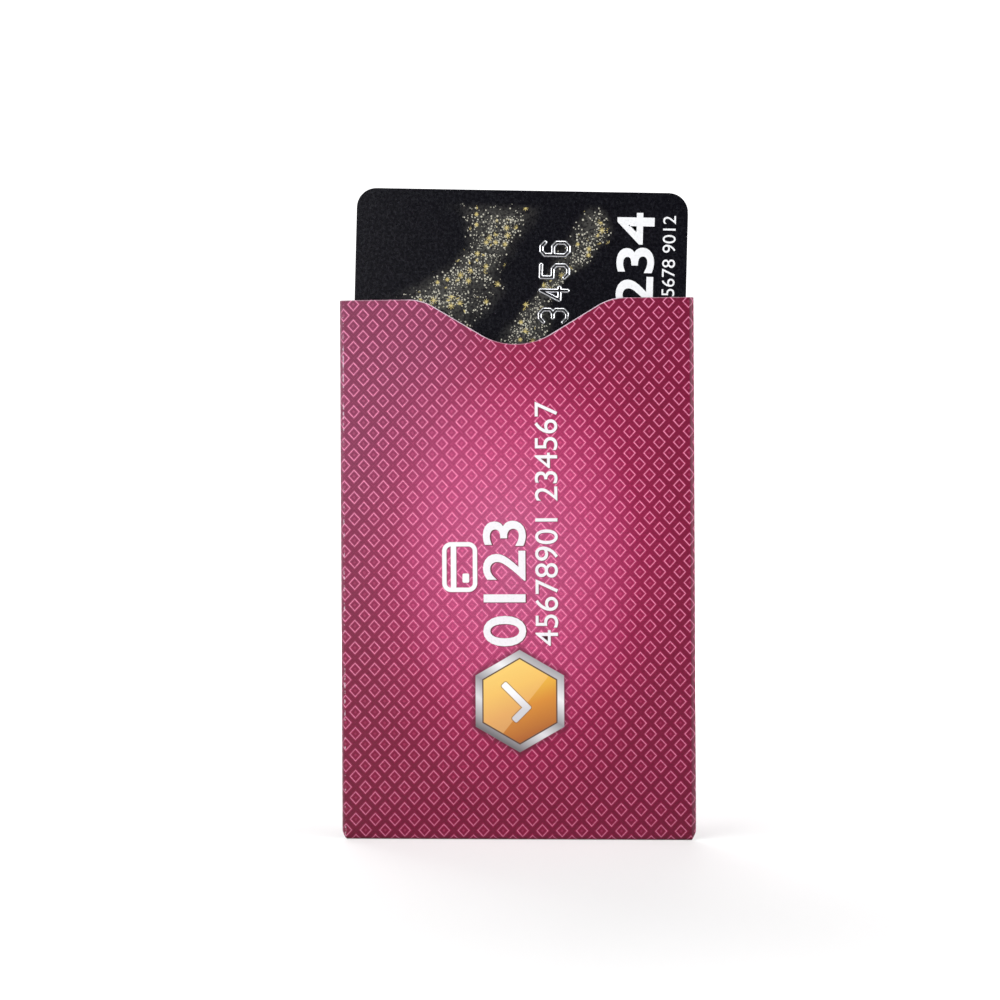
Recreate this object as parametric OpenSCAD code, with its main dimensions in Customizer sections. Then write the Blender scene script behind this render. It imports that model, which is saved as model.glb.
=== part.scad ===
// Folded paper sleeve with a foil lining, and the payment card that it holds.
// Sizes are in millimetres. X runs across the sleeve, Y from its front to its back, Z up to its mouth.
// The origin is the middle of the bottom fold. The card stands part way out of the mouth.

/* [Card] */
// Short side of the card, which lies across the sleeve
card_w = 53.98; // [50:0.01:58]
// Long side of the card
card_l = 85.6; // [80:0.1:90]
// Thickness of the laminated card
card_t = 0.76; // [0.7:0.02:1.2]
// Corner radius of the card
card_r = 3.18; // [1:0.01:6]
// Thickness of the inlay sheet between the two printed sheets
inlay_t = 0.16; // [0.12:0.01:0.2]

/* [Raised numbers] */
// Height that the numbers stand above the card
emboss_h = 0.45; // [0.2:0.01:0.6]
// Width of a raised stroke
stroke_w = 0.7; // [0.4:0.05:0.9]
// Width of a numeral between the middles of its strokes
numeral_w = 2; // [1.4:0.1:2.4]
// Height of a numeral between the middles of its strokes
numeral_h = 4.4; // [3:0.1:5]
// Distance from one numeral to the next
numeral_pitch = 3.63; // [3.4:0.01:4]
// Distance from the card's right edge to the middle of the row
number_edge = 21.4; // [15:0.1:25]
// Distance from the card's top end to the middle of the last numeral
number_end = 9.4; // [6:0.1:12]

/* [Chip] */
// Size of the contact plate along the card
chip_l = 13; // [11:0.1:14]
// Size of the contact plate across the card
chip_w = 11.8; // [10.6:0.1:13]
// Corner radius of the contact plate
chip_r = 1.6; // [0.5:0.1:2.5]
// Thickness of the gold contacts
contact_t = 0.05; // [0.04:0.01:0.08]
// Width of the gaps between the contacts
contact_gap = 0.25; // [0.15:0.05:0.4]
// Width of the middle contact
centre_w = 4.6; // [3:0.1:6]
// Thickness of the carrier under the contacts
carrier_t = 0.12; // [0.08:0.01:0.15]
// Side of the moulded body under the carrier
mould_w = 7.6; // [6:0.1:8.5]
// Depth of the moulded body
mould_t = 0.34; // [0.25:0.01:0.36]
// Clearance round the chip in its seat
chip_play = 0.08; // [0.05:0.01:0.15]
// Distance from the card's bottom end to the middle of the chip
chip_end = 15.1; // [12:0.1:20]
// Distance from the card's left edge to the middle of the chip
chip_edge = 23.9; // [18:0.1:26]

/* [Antenna] */
// Number of turns round the card
antenna_turns = 4; // [3:1:6]
// Distance from one turn to the next
antenna_pitch = 0.9; // [0.7:0.1:1]
// Width of the antenna's track
track_w = 0.35; // [0.25:0.05:0.4]
// Thickness of the antenna's track
track_t = 0.05; // [0.04:0.01:0.055]
// Distance from the card's edge to the outer turn
antenna_edge = 3.2; // [2.5:0.1:4]

/* [Stripe and signature] */
// Width of the magnetic stripe
stripe_w = 12.7; // [9:0.1:13]
// Distance from the card's edge to the stripe
stripe_edge = 4; // [3:0.1:5.5]
// Width of the signature panel
signature_w = 10; // [6:0.5:12]
// Length of the signature panel
signature_l = 62; // [40:1:70]
// Gap between the stripe and the signature panel
signature_gap = 3.2; // [2:0.1:6]
// Thickness of the stripe and of the signature panel
stripe_t = 0.05; // [0.04:0.01:0.08]

/* [Sleeve sheet] */
// Thickness of the printed paper
paper_t = 0.2; // [0.15:0.01:0.35]
// Thickness of the foil lining with its backing
foil_t = 0.07; // [0.06:0.01:0.12]
// Thickness of the glue under a flap
glue_t = 0.05; // [0.04:0.01:0.1]

/* [Pocket] */
// Play between the card and each side fold when the card stands straight
side_play = 1.6; // [1:0.1:3]
// Room left at the mouth above a card that touches the bottom fold
end_play = 2.1; // [1:0.1:6]
// Clearance between a face of the card and the lining
face_play = 0.15; // [0.1:0.01:0.3]
// Clearance that the bowed front panel adds over the raised numbers
emboss_play = 0.05; // [0.02:0.01:0.2]
// Height over which the front panel rises from the bottom fold to its full bow
ramp_h = 7; // [4:0.5:8]

/* [Thumb notch] */
// Depth of the notch in the front panel
notch_d = 7.4; // [5:0.1:9]
// Radius at the bottom of the notch
notch_bottom_r = 11; // [8:0.5:13]
// Radius of the shoulders at the mouth
notch_shoulder_r = 8; // [5:0.5:10]
// Slope of the notch's flanks, in degrees
notch_slope = 31; // [25:1:35]

/* [Glue flaps] */
// Width of the side flap on the back
side_flap_w = 11; // [8:0.5:16]
// Height of the bottom flap on the back
bottom_flap_h = 13; // [10:0.5:20]
// Slope of the flaps' free ends, in degrees
flap_taper = 15; // [5:1:30]
// Slope of the two flap ends that face each other, in degrees
flap_mitre = 45; // [40:1:50]
// Gap between the two flaps at their corner
flap_gap = 1; // [0.5:0.1:2]
// Distance from the mouth to the top of the side flap
flap_top = 1.2; // [0.5:0.1:4]
// Gap between the back panel's free edges and the folds beside them
edge_play = 0.25; // [0.15:0.05:0.6]
// Distance from a flap's free edge to its glue
glue_margin = 1.2; // [0.6:0.1:2]
// Bevel cut off the front panel's two bottom corners
corner_cut = 0.7; // [0.3:0.1:1.5]

/* [Card position] */
// Height of the card above the mouth at rest
card_out = 17.6; // [5:0.1:60]
// Share of the side play that the leaning card takes up
lean_share = 0.8; // [0:0.05:0.85]
// Clearance between the leaning card's bottom corner and the left fold
touch_play = 0.28; // [0.25:0.01:0.4]

/* [Hidden] */

fine_fn = 96;
bow_fn = 3600;
cut_over = 1;

PAPER = "#a82a5c";
FOIL = "#c9ccd1";
GLUE = "#efe6c8";
CARD = "#16161b";
GOLD = "#d9b45a";

// Sheet and pocket
sheet_t = paper_t + foil_t;
pocket_w = card_w + 2 * side_play;
sleeve_w = pocket_w + 2 * sheet_t;
sleeve_h = sheet_t + card_l + end_play;
bow = emboss_h + emboss_play;

// The left fold joins the front and back panels and is half as deep as the two of them
side_r = card_t / 2 + face_play + sheet_t;
left_x = side_r - sleeve_w / 2;

// The right and bottom folds reach round the back panel to the flaps on it
flap_y = side_r + glue_t + sheet_t;
flap_r = (side_r + flap_y) / 2;
flap_mid_y = flap_y - flap_r;
right_x = sleeve_w / 2 - flap_r;

// One arc bows the front panel between its two side folds
bow_half = (right_x - left_x) / 2;
bow_x = (right_x + left_x) / 2;
bow_r = (bow_half * bow_half + bow * bow) / (2 * bow);
bow_centre_y = bow_r - bow - side_r;
front_reach = side_r + bow + cut_over;

// The back panel's free edges stop short of the folds
back_right_x = right_x - edge_play;
back_bottom_z = flap_r + edge_play;

// Corners of the two flaps
side_flap_top_z = sleeve_h - flap_top;
mitre_x = sleeve_w / 2 - corner_cut + flap_gap / cos(flap_mitre);
side_flap_low_z = flap_r + (mitre_x - right_x) / tan(flap_mitre);

// Thumb notch
notch_radii = notch_bottom_r + notch_shoulder_r;
notch_x = notch_radii * sin(notch_slope)
        + (notch_d - notch_radii * (1 - cos(notch_slope))) / tan(notch_slope);
notch_low_x = notch_bottom_r * sin(notch_slope);
notch_low_z = sleeve_h - notch_d + notch_bottom_r * (1 - cos(notch_slope));
notch_high_x = notch_x - notch_shoulder_r * sin(notch_slope);
notch_high_z = sleeve_h - notch_shoulder_r * (1 - cos(notch_slope));

// Card at rest: it leans to the right, and its bottom corner is beside the left fold
lean = asin(lean_share * 2 * side_play / card_l);
card_half_span = (card_w / 2 - card_r) * cos(lean) + (card_l / 2 - card_r) * sin(lean) + card_r;
card_x = card_half_span + touch_play - pocket_w / 2;
card_z = sleeve_h + card_out - card_l / 2 * cos(lean);

// Card sheets, chip and inlay, in the card's own frame with its middle at the origin
front_y = -card_t / 2;
back_y = card_t / 2;
inlay_y = -inlay_t / 2;
sheet_in_card_t = (card_t - inlay_t) / 2;
chip_x = chip_edge - card_w / 2;
chip_z = chip_end - card_l / 2;
seat_t = contact_t + carrier_t;
signature_edge = stripe_edge + stripe_w + signature_gap;
NUMBER = [1, 2, 3, 4, 5, 6, 7, 8, 9, 0, 1, 2, 3, 4, 5, 6];
group = 4;
number_x = card_w / 2 - number_edge;
number_z = card_l / 2 - number_end;

// Strokes of each numeral in a cell one wide and one high, with its corners cut at these shares
cut_x = 0.3;
cut_z = 0.13;
right_cut_x = 1 - cut_x;
top_cut_z = 1 - cut_z;
NUMERALS = [
    [[[cut_x, 0], [right_cut_x, 0], [1, cut_z], [1, top_cut_z], [right_cut_x, 1], [cut_x, 1],
      [0, top_cut_z], [0, cut_z], [cut_x, 0]]],
    [[[0.1, 0.8], [0.55, 1], [0.55, 0]]],
    [[[0, top_cut_z], [cut_x, 1], [right_cut_x, 1], [1, top_cut_z], [1, 0.62], [0, 0.12], [0, 0],
      [1, 0]]],
    [[[0, top_cut_z], [cut_x, 1], [right_cut_x, 1], [1, top_cut_z], [1, 0.62], [right_cut_x, 0.52],
      [1, 0.42], [1, cut_z], [right_cut_x, 0], [cut_x, 0], [0, cut_z]],
     [[0.35, 0.52], [right_cut_x, 0.52]]],
    [[[0.75, 0], [0.75, 1], [0, 0.3], [1, 0.3]]],
    [[[1, 1], [0, 1], [0, 0.57], [right_cut_x, 0.57], [1, 0.57 - cut_z], [1, cut_z],
      [right_cut_x, 0], [cut_x, 0], [0, cut_z]]],
    [[[1, top_cut_z], [right_cut_x, 1], [cut_x, 1], [0, top_cut_z], [0, cut_z], [cut_x, 0],
      [right_cut_x, 0], [1, cut_z], [1, 0.57 - cut_z], [right_cut_x, 0.57], [0, 0.57]]],
    [[[0, 1], [1, 1], [0.4, 0]]],
    [[[cut_x, 0.53], [0, 0.65], [0, top_cut_z], [cut_x, 1], [right_cut_x, 1], [1, top_cut_z],
      [1, 0.65], [right_cut_x, 0.53], [cut_x, 0.53], [0, 0.41], [0, cut_z], [cut_x, 0],
      [right_cut_x, 0], [1, cut_z], [1, 0.41], [right_cut_x, 0.53]]],
    [[[0, cut_z], [cut_x, 0], [right_cut_x, 0], [1, cut_z], [1, top_cut_z], [right_cut_x, 1],
      [cut_x, 1], [0, top_cut_z], [0, 0.43 + cut_z], [cut_x, 0.43], [1, 0.43]]]
];

// Solid of a plan drawn in X and Y, from z0 up to z1
module upright(z0, z1) {
    translate([0, 0, z0])
        linear_extrude(z1 - z0) children();
}

// Solid of a side view drawn in Y and Z, over the sleeve's whole width
module crosswise() {
    translate([-sleeve_w / 2, 0, 0])
        rotate([90, 0, 90]) linear_extrude(sleeve_w) children();
}

// Solid of a front view drawn in X and Z, from y0 back to y1
module through(y0, y1) {
    translate([0, y1, 0])
        rotate([90, 0, 0]) linear_extrude(y1 - y0) children();
}

// Rectangle about the origin with round corners
module round_rect(w, l, r) {
    square([w, l - 2 * r], center = true);
    square([w - 2 * r, l], center = true);
    for (x = [-1, 1], z = [-1, 1])
        translate([x * (w / 2 - r), z * (l / 2 - r)]) circle(r, $fn = fine_fn);
}

// Track of width w with round joints through a list of points
module track(points, w) {
    for (i = [0 : len(points) - 2]) {
        run = points[i + 1] - points[i];
        translate(points[i]) rotate(atan2(run.y, run.x))
            translate([0, -w / 2]) square([norm(run), w]);
    }
    for (p = points)
        translate(p) circle(d = w, $fn = 32);
}

// Plan of the front panel and its side folds, filled back to the plane through the left fold
module front_plan(inset) {
    intersection() {
        union() {
            translate([left_x, 0]) circle(side_r - inset, $fn = fine_fn);
            translate([right_x, flap_mid_y]) circle(flap_r - inset, $fn = fine_fn);
            intersection() {
                translate([bow_x, bow_centre_y + inset]) circle(bow_r, $fn = bow_fn);
                translate([left_x, -front_reach]) square([2 * bow_half, front_reach]);
            }
        }
        translate([-sleeve_w / 2, -front_reach]) square([sleeve_w, front_reach]);
    }
}

// Side view of the same: the bottom fold, the rise above it and the open mouth
module front_side(inset) {
    face_y = inset - side_r;
    steep = 2;
    intersection() {
        union() {
            translate([flap_mid_y, flap_r]) circle(flap_r - inset, $fn = fine_fn);
            polygon([[0, flap_r / 2], [0, sleeve_h + cut_over],
                     [face_y - steep * bow, sleeve_h + cut_over],
                     [face_y - steep * bow, flap_r + steep * ramp_h], [face_y, flap_r]]);
        }
        translate([-2 * front_reach, 0]) square([2 * front_reach, sleeve_h + cut_over]);
    }
}

// Solid inside the front panel's surface at an inset from its outer face, up to a height
module front_block(inset, top_z) {
    intersection() {
        upright(0, top_z) front_plan(inset);
        crosswise() front_side(inset);
    }
}

// Wave cut in the mouth: a round bottom, straight flanks and round shoulders
module notch_shape() {
    over_z = sleeve_h + cut_over;
    difference() {
        union() {
            polygon([[-notch_x, over_z], [-notch_x, sleeve_h], [-notch_high_x, notch_high_z],
                     [-notch_low_x, notch_low_z], [notch_low_x, notch_low_z],
                     [notch_high_x, notch_high_z], [notch_x, sleeve_h], [notch_x, over_z]]);
            translate([0, sleeve_h - notch_d + notch_bottom_r])
                circle(notch_bottom_r, $fn = 2 * fine_fn);
        }
        for (side = [-1, 1])
            translate([side * notch_x, sleeve_h - notch_shoulder_r])
                circle(notch_shoulder_r, $fn = 2 * fine_fn);
    }
}

// One layer of the front panel between two insets, with the notch and the bevelled corners
module front_layer(outer, inner) {
    edge_x = sleeve_w / 2;
    difference() {
        front_block(outer, sleeve_h);
        front_block(inner, sleeve_h + cut_over);
        through(-front_reach, cut_over) {
            notch_shape();
            for (side = [-1, 1])
                polygon([[side * (edge_x - corner_cut), -cut_over], [side * (edge_x + cut_over), -cut_over],
                         [side * (edge_x + cut_over), 2 * corner_cut], [side * edge_x, 2 * corner_cut],
                         [side * (edge_x - corner_cut), 0]]);
        }
    }
}

// Plan of the back panel with its half of the left fold
module back_plan(inset) {
    intersection() {
        union() {
            translate([left_x, 0]) circle(side_r - inset, $fn = fine_fn);
            translate([left_x, 0]) square([back_right_x - left_x, side_r - inset]);
        }
        translate([-sleeve_w / 2, 0]) square([sleeve_w, side_r]);
    }
}

module back_layer(outer, inner) {
    upright(back_bottom_z, sleeve_h)
        difference() {
            back_plan(outer);
            back_plan(inner);
        }
}

// Half of a flap's fold and the flap, as a filled section from the fold's edge to the free end
module flap_section(free_end, inset) {
    intersection() {
        union() {
            translate([flap_mid_y, 0]) circle(flap_r - inset, $fn = fine_fn);
            square([flap_y - inset, free_end]);
        }
        translate([0, -flap_r]) square([flap_y, free_end + flap_r]);
    }
}

module flap_ring(free_end, outer, inner) {
    difference() {
        flap_section(free_end, outer);
        flap_section(free_end, inner);
        translate([0, free_end]) square([flap_y, cut_over]);
    }
}

// Front view of the side flap, drawn in by a margin at its free edges
module side_flap_shape(margin) {
    over_x = sleeve_w / 2 + cut_over;
    reach = side_flap_w - flap_r - margin;
    low_z = side_flap_low_z + margin;
    top_z = side_flap_top_z - margin;
    polygon([[right_x, low_z], [over_x, low_z], [over_x, top_z], [right_x, top_z],
             [right_x - reach, top_z - reach * tan(flap_taper)],
             [right_x - reach, low_z + reach / tan(flap_mitre)]]);
}

// Front view of the bottom flap, drawn in by a margin at its free edges
module bottom_flap_shape(margin) {
    edge_x = sleeve_w / 2 - corner_cut - margin;
    rise = bottom_flap_h - flap_r - margin;
    polygon([[-edge_x, -cut_over], [edge_x, -cut_over], [edge_x, flap_r],
             [edge_x - rise * tan(flap_mitre), flap_r + rise],
             [rise * tan(flap_taper) - edge_x, flap_r + rise], [-edge_x, flap_r]]);
}

module side_flap_layer(outer, inner) {
    intersection() {
        upright(0, sleeve_h)
            translate([right_x, 0]) rotate(90) flap_ring(side_flap_w - flap_r, outer, inner);
        through(-cut_over, flap_y + cut_over) side_flap_shape(0);
    }
}

module bottom_flap_layer(outer, inner) {
    intersection() {
        crosswise()
            translate([0, flap_r]) flap_ring(bottom_flap_h - flap_r, outer, inner);
        through(-cut_over, flap_y + cut_over) bottom_flap_shape(0);
    }
}

// Puts a piece drawn in the card's own frame where the card rests
module on_card() {
    translate([card_x, 0, card_z])
        rotate([0, lean, 0]) children();
}

module at_chip() {
    translate([chip_x, chip_z]) children();
}

module card_outline() {
    round_rect(card_w, card_l, card_r);
}

// Contact plate split by gaps into the middle contact and rows at its two sides
module contact_shape() {
    rows = 4;
    row_l = chip_l / rows;
    difference() {
        round_rect(chip_w, chip_l, chip_r);
        for (side = [-1, 1]) {
            translate([side * centre_w / 2 - contact_gap / 2, -chip_l / 2 - cut_over])
                square([contact_gap, chip_l + 2 * cut_over]);
            for (row = [1 : rows - 1])
                translate([side > 0 ? centre_w / 2 : -chip_w / 2 - cut_over,
                           row * row_l - chip_l / 2 - contact_gap / 2])
                    square([(chip_w - centre_w) / 2 + cut_over, contact_gap]);
        }
    }
}

// Corners of the antenna's spiral, counted along it from the outer end beside the chip
function turn_inset(i) = antenna_edge + antenna_pitch * floor(i / 4);
function turn_corner(i) = let (
        x = card_w / 2 - turn_inset(i),
        z = card_l / 2 - turn_inset(i),
        step = i % 4 == 3 ? antenna_pitch : 0)
    [[-x, z], [x, z], [x, -z], [-x + step, -z]][i % 4];

antenna_points = concat(
    [[chip_x - mould_w / 2 - antenna_pitch, chip_z], [antenna_edge - card_w / 2, chip_z]],
    [for (i = [0 : 4 * antenna_turns - 1]) turn_corner(i)],
    [[antenna_edge + antenna_turns * antenna_pitch - card_w / 2, chip_z + chip_l],
     [chip_x, chip_z + chip_l], [chip_x, chip_z + mould_w / 2 + antenna_pitch]]);

module numeral(n) {
    for (stroke = NUMERALS[n])
        track([for (p = stroke) [(0.5 - p.y) * numeral_h, (p.x - 0.5) * numeral_w]], stroke_w);
}

module front_panel() {
    color(PAPER) front_layer(0, paper_t);
}

module back_panel() {
    color(PAPER) back_layer(0, paper_t);
}

module side_flap() {
    color(PAPER) side_flap_layer(0, paper_t);
}

module bottom_flap() {
    color(PAPER) bottom_flap_layer(0, paper_t);
}

module front_foil() {
    color(FOIL) front_layer(paper_t, sheet_t);
}

module back_foil() {
    color(FOIL) back_layer(paper_t, sheet_t);
}

module side_flap_foil() {
    color(FOIL) side_flap_layer(paper_t, sheet_t);
}

module bottom_flap_foil() {
    color(FOIL) bottom_flap_layer(paper_t, sheet_t);
}

module side_glue() {
    color(GLUE) through(side_r, side_r + glue_t) intersection() {
        side_flap_shape(glue_margin);
        square([back_right_x - glue_margin, sleeve_h]);
    }
}

module bottom_glue() {
    color(GLUE) through(side_r, side_r + glue_t) intersection() {
        bottom_flap_shape(glue_margin);
        translate([-sleeve_w / 2, back_bottom_z + glue_margin]) square([sleeve_w, bottom_flap_h]);
    }
}

module card_front_sheet() {
    color(CARD) on_card() difference() {
        through(front_y, inlay_y) card_outline();
        through(front_y - cut_over, front_y + seat_t)
            at_chip() round_rect(chip_w + 2 * chip_play, chip_l + 2 * chip_play, chip_r + chip_play);
        through(front_y, inlay_y + cut_over)
            at_chip() square(mould_w + 2 * chip_play, center = true);
    }
}

module card_inlay() {
    color("white") on_card() difference() {
        through(inlay_y, -inlay_y) card_outline();
        through(inlay_y - cut_over, cut_over)
            at_chip() square(mould_w + 2 * chip_play, center = true);
        through(inlay_y - cut_over, inlay_y + track_t) track(antenna_points, track_w);
    }
}

module card_back_sheet() {
    color(CARD) on_card() difference() {
        through(-inlay_y, back_y) card_outline();
        through(0, front_y + seat_t + mould_t + chip_play)
            at_chip() square(mould_w + 2 * chip_play, center = true);
        through(back_y - stripe_t, back_y + cut_over) {
            stripe_shape(cut_over);
            signature_shape();
        }
    }
}

module stripe_shape(over) {
    translate([stripe_edge - card_w / 2, -card_l / 2 - over]) square([stripe_w, card_l + 2 * over]);
}

module signature_shape() {
    translate([signature_edge - card_w / 2, -signature_l / 2]) square([signature_w, signature_l]);
}

module antenna() {
    color("#b87333") on_card()
        through(inlay_y, inlay_y + track_t) track(antenna_points, track_w);
}

module chip_contacts() {
    color(GOLD) on_card()
        through(front_y, front_y + contact_t) at_chip() contact_shape();
}

module chip_module() {
    color("#3a3a30") on_card() {
        through(front_y + contact_t, front_y + seat_t) at_chip() round_rect(chip_w, chip_l, chip_r);
        through(front_y + seat_t, front_y + seat_t + mould_t) at_chip() square(mould_w, center = true);
    }
}

module raised_numbers() {
    color("#2b2b31") on_card()
        for (i = [0 : len(NUMBER) - 1]) {
            place = i + floor(i / group);
            last = len(NUMBER) - 1 + floor((len(NUMBER) - 1) / group);
            through(front_y - emboss_h, front_y)
                translate([number_x, number_z - (last - place) * numeral_pitch]) numeral(NUMBER[i]);
        }
}

module magnetic_stripe() {
    color("#3b2a22") on_card()
        through(back_y - stripe_t, back_y) stripe_shape(0);
}

module signature_panel() {
    color("#e9e6dc") on_card()
        through(back_y - stripe_t, back_y) signature_shape();
}

front_panel();
back_panel();
side_flap();
bottom_flap();
front_foil();
back_foil();
side_flap_foil();
bottom_flap_foil();
side_glue();
bottom_glue();
card_front_sheet();
card_inlay();
card_back_sheet();
antenna();
chip_contacts();
chip_module();
raised_numbers();
magnetic_stripe();
signature_panel();
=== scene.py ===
"""Looks of a folded paper card sleeve and of the payment card in it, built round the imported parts.

Sizes in the classes are millimetres in the parts' own frame: X across the sleeve, Y from its front to its back and
Z up to its mouth. They become metres where meshes are made.
"""

import logging
import math
from collections.abc import Sequence
from dataclasses import dataclass, field
from enum import Enum

import bpy
import numpy as np
from mathutils import Matrix, Vector


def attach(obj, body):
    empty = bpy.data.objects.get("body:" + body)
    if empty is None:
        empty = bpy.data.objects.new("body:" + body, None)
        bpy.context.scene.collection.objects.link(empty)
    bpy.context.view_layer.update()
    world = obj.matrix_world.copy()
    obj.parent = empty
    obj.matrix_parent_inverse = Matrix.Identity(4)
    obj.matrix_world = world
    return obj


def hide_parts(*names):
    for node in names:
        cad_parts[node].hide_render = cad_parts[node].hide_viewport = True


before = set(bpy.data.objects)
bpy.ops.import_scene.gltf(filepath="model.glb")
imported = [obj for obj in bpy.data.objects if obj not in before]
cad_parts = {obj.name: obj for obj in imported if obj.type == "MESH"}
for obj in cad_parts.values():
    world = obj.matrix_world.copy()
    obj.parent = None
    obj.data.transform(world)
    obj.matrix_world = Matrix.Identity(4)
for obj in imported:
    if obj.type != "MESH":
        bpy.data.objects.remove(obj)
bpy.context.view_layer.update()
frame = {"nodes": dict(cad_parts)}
MM = 0.001
LOG = logging.getLogger("card_sleeve")

Number = "Wire | float"
Colour = tuple[float, float, float]


class Body(Enum):
    """The two bodies that pieces ride on."""

    SLEEVE = "sleeve"
    CARD = "card"


class Side(Enum):
    """Material slots of a folded sheet's mesh."""

    FACE = 0
    LINING = 1
    CUT = 2


# Shader tools


class Wire:
    """A node's output that takes part in Python arithmetic by adding Math nodes."""

    def __init__(self, bench: "Bench", socket: bpy.types.NodeSocket) -> None:
        """Keeps the socket and the bench that its nodes are made on."""
        self.bench = bench
        self.socket = socket

    def math(self, operation: str, *others: Number) -> "Wire":
        """Adds a Math node.

        Args:
            operation: The node's operation.
            others: What follows this wire in the node's inputs.

        Returns:
            The node's output.
        """
        values = dict(enumerate((self, *others)))
        return self.bench.add("ShaderNodeMath", {"operation": operation}, values)

    def __add__(self, other: Number) -> "Wire":
        """Sum."""
        return self.math("ADD", other)

    __radd__ = __add__

    def __sub__(self, other: Number) -> "Wire":
        """Difference."""
        return self.math("SUBTRACT", other)

    def __rsub__(self, other: float) -> "Wire":
        """Difference from a number."""
        return self.bench.add("ShaderNodeMath", {"operation": "SUBTRACT"}, {0: other, 1: self})

    def __mul__(self, other: Number) -> "Wire":
        """Product."""
        return self.math("MULTIPLY", other)

    __rmul__ = __mul__

    def __truediv__(self, other: Number) -> "Wire":
        """Quotient."""
        return self.math("DIVIDE", other)

    def __abs__(self) -> "Wire":
        """Size without its sign."""
        return self.math("ABSOLUTE")

    def __neg__(self) -> "Wire":
        """Opposite."""
        return self * -1.0

    def larger(self, other: Number) -> "Wire":
        """The larger of two values."""
        return self.math("MAXIMUM", other)

    def smaller(self, other: Number) -> "Wire":
        """The smaller of two values."""
        return self.math("MINIMUM", other)

    def root(self) -> "Wire":
        """Square root."""
        return self.math("SQRT")

    def to_nearest(self, period: float) -> "Wire":
        """Distance to the nearest multiple of a period."""
        return self.math("PINGPONG", period / 2)

    def rise(self, low: float, high: float) -> "Wire":
        """Smooth step from 0 at low to 1 at high. With low above high it falls."""
        settings = {"interpolation_type": "SMOOTHSTEP"}
        return self.bench.add("ShaderNodeMapRange", settings, {0: self, 1: low, 2: high})


class Bench:
    """Makes the nodes of one material, or of the world."""

    def __init__(self, name: str, world: bool = False) -> None:
        """Starts a material or a world with its one shader.

        Args:
            name: Its name.
            world: Whether it is a world.
        """
        self.owner = bpy.data.worlds.new(name) if world else bpy.data.materials.new(name)
        self.owner.use_nodes = True
        self.tree = self.owner.node_tree
        self.shader = self.tree.nodes["Background" if world else "Principled BSDF"]

    def add(
        self,
        kind: str,
        settings: dict[str, object],
        values: dict[int | str, object],
        output: int | str = 0,
    ) -> Wire:
        """Makes any node.

        Args:
            kind: The node's type.
            settings: Its properties, or a ramp's stops as (place, colour) pairs, which are set first.
            values: Numbers, colours or wires for its inputs, by index or name.
            output: Which of its outputs is returned.

        Returns:
            That output.
        """
        node = self.tree.nodes.new(kind)
        for name, value in settings.items():
            if name == "stops":
                self._set_stops(node.color_ramp, value)
            else:
                setattr(node, name, value)
        for key, value in values.items():
            self.feed(node.inputs[key], value)
        return Wire(self, node.outputs[output])

    @staticmethod
    def _set_stops(ramp: bpy.types.ColorRamp, stops: Sequence[tuple[float, Colour]]) -> None:
        """Gives a ramp its stops."""
        while len(ramp.elements) < len(stops):
            ramp.elements.new(1.0)
        for element, (place, colour) in zip(ramp.elements, stops):
            element.position = place
            element.color = (*colour, 1.0)

    def feed(self, socket: bpy.types.NodeSocket, value: object) -> None:
        """Links a wire to a socket, or sets the socket's own value."""
        if isinstance(value, Wire):
            self.tree.links.new(value.socket, socket)
        elif isinstance(value, tuple) and socket.type == "RGBA" and len(value) == 3:
            socket.default_value = (*value, 1.0)
        else:
            socket.default_value = value

    def mix(self, under: object, over: object, share: Number, blend: str = "MIX") -> Wire:
        """Mixes two colours.

        Args:
            under: The first colour.
            over: The second colour.
            share: How much of the second shows.
            blend: The way of mixing.

        Returns:
            The mixed colour.
        """
        settings = {"data_type": "RGBA", "blend_type": blend}
        return self.add("ShaderNodeMix", settings, {0: share, 6: under, 7: over}, 2)

    def ramp(self, value: Wire, stops: Sequence[tuple[float, Colour]]) -> Wire:
        """Colour at a value between the ramp's stops."""
        return self.add("ShaderNodeValToRGB", {"stops": stops}, {0: value})

    def parts(self, vector: Wire) -> tuple[Wire, Wire, Wire]:
        """The three numbers of a vector."""
        node = self.add("ShaderNodeSeparateXYZ", {}, {0: vector}).socket.node
        return tuple(Wire(self, socket) for socket in node.outputs)

    def place(self) -> Wire:
        """Place on the surface, in metres in the parts' frame."""
        return self.add("ShaderNodeTexCoord", {}, {}, "Object")

    def stretch(self, vector: Wire, by: tuple[float, float, float]) -> Wire:
        """A vector times a number along each axis."""
        return self.add("ShaderNodeVectorMath", {"operation": "MULTIPLY"}, {0: vector, 1: by})

    def noise(self, vector: Wire, per_mm: float, detail: float = 2.0, unit: float = MM) -> Wire:
        """Noise from 0 to 1.

        Args:
            vector: Where it is read.
            per_mm: How many blotches lie in a millimetre.
            detail: Its octaves.
            unit: How long the vector is for a millimetre.

        Returns:
            The noise.
        """
        values = {"Vector": vector, "Scale": per_mm / unit, "Detail": detail, "Roughness": 0.55}
        return self.add("ShaderNodeTexNoise", {"noise_dimensions": "3D"}, values)

    def bump(self, height: Wire, depth_mm: float, strength: float = 1.0) -> Wire:
        """Normal bent by a height map.

        Args:
            height: The map, from 0 to 1.
            depth_mm: How deep it is.
            strength: How much of it shows.

        Returns:
            The bent normal.
        """
        values = {"Strength": strength, "Distance": depth_mm * MM, "Height": height}
        return self.add("ShaderNodeBump", {}, values)

    def background_rays(self) -> Wire:
        """1 for the rays that show the background: from the camera, off gloss and through glass."""
        seen = self.add("ShaderNodeLightPath", {}, {}, "Is Camera Ray")
        rays = seen.socket.node.outputs
        return seen.larger(Wire(self, rays["Is Glossy Ray"])).larger(Wire(self, rays["Is Transmission Ray"]))

    def finish(self, **sockets: object) -> bpy.types.Material | bpy.types.World:
        """Feeds the shader, by its sockets' names with underscores, and returns the material or world."""
        for name, value in sockets.items():
            self.feed(self.shader.inputs[name.replace("_", " ")], value)
        return self.owner


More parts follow.
